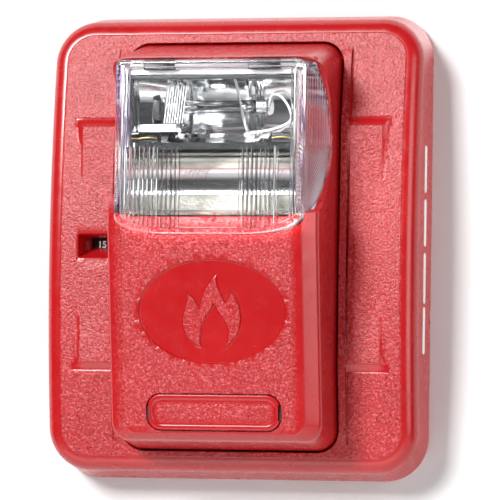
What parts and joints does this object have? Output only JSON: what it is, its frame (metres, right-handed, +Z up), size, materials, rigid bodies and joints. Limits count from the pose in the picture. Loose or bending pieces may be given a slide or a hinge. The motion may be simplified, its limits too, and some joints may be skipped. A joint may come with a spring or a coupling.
{
  "type": "horn strobe",
  "caption": "Wall-mount fire alarm horn and strobe with a domed red face plate, raised centre cover, clear fluted lens and a mounting plate.",
  "frame": {"origin": "centre of the mounting plate's back face, on the wall", "axes": "+Z up, +X across to the right seen from the front, +Y into the wall"},
  "size_m": [0.1142, 0.0496, 0.1396],
  "materials": {
    "red_plastic": "fine texture, with smooth polished borders",
    "badge_plastic": "smooth",
    "clear_lens": "clear moulded polycarbonate with flutes",
    "mirror_coat": "metallised",
    "tube_glass": "clear",
    "plated_steel": "zinc plated",
    "brass": "satin",
    "black_plastic": "fine matt",
    "selector_plastic": "matt with white numbers",
    "plate_plastic": "fine matt",
    "white_plastic": "satin",
    "circuit_board": "solder mask",
    "copper_winding": "lacquered winding",
    "ceramic": "silvered ceramic",
    "capacitor_sleeve": "shrink sleeve",
    "foam": "closed-cell foam"
  },
  "bodies": {
    "base": {"mounting_plate": "plate_plastic", "terminal_block": "black_plastic", "terminal_screw_1": "plated_steel", "terminal_screw_2": "plated_steel", "terminal_screw_3": "plated_steel", "terminal_screw_4": "plated_steel", "wire_clamp_1": "plated_steel", "wire_clamp_2": "plated_steel", "wire_clamp_3": "plated_steel", "wire_clamp_4": "plated_steel"},
    "head": {"housing": "red_plastic", "center_cover": "red_plastic", "nameplate_insert": "badge_plastic", "lens": "clear_lens", "reflector": "mirror_coat", "flash_tube": "tube_glass", "tube_cap_left": "plated_steel", "tube_cap_right": "plated_steel", "lead_wire_left": "plated_steel", "lead_wire_right": "plated_steel", "trigger_wire": "plated_steel", "housing_screw_1": "plated_steel", "housing_screw_2": "plated_steel", "housing_screw_3": "plated_steel", "housing_screw_4": "plated_steel", "cover_screw_1": "plated_steel", "cover_screw_2": "plated_steel", "cover_screw_3": "plated_steel", "cover_screw_4": "plated_steel", "pcb_screw_1": "plated_steel", "pcb_screw_2": "plated_steel", "piezo_disc": "brass", "contact_pin_1": "brass", "contact_pin_2": "brass", "contact_pin_3": "brass", "contact_pin_4": "brass", "rear_chassis": "black_plastic", "contact_header": "black_plastic", "candela_switch": "black_plastic", "tone_switch": "black_plastic", "volume_switch": "black_plastic", "sounder_case": "black_plastic", "controller_chip": "black_plastic", "bridge_rectifier": "black_plastic", "sounder_ring": "white_plastic", "trigger_transformer": "white_plastic", "pcb": "circuit_board", "inductor": "copper_winding", "piezo_ceramic": "ceramic", "flash_capacitor": "capacitor_sleeve", "filter_capacitor": "capacitor_sleeve", "sounder_gasket": "foam"},
    "lock": {"lock_screw": "plated_steel"},
    "candela": {"selector_slider": "selector_plastic"},
    "tone": {"tone_actuator": "white_plastic"},
    "volume": {"volume_actuator": "white_plastic"}
  },
  "joints": [
    {"name": "head_swing", "type": "hinge", "parent": "base", "child": "head", "pos_m": [0, -0.0004, 0.06985], "axis": [-1, 0, 0], "range_deg": [0, 15]},
    {"name": "lock_screw_turn", "type": "hinge", "parent": "head", "child": "lock", "pos_m": [-0.055, -0.0054, -0.036], "axis": [-1, 0, 0], "continuous": true},
    {"name": "candela_slide", "type": "slide", "parent": "head", "child": "candela", "axis": [0, 0, 1], "range_m": [0, 0.015]},
    {"name": "tone_slide", "type": "slide", "parent": "head", "child": "tone", "axis": [1, 0, 0], "range_m": [0, 0.002]},
    {"name": "volume_slide", "type": "slide", "parent": "head", "child": "volume", "axis": [1, 0, 0], "range_m": [0, 0.002]}
  ]
}
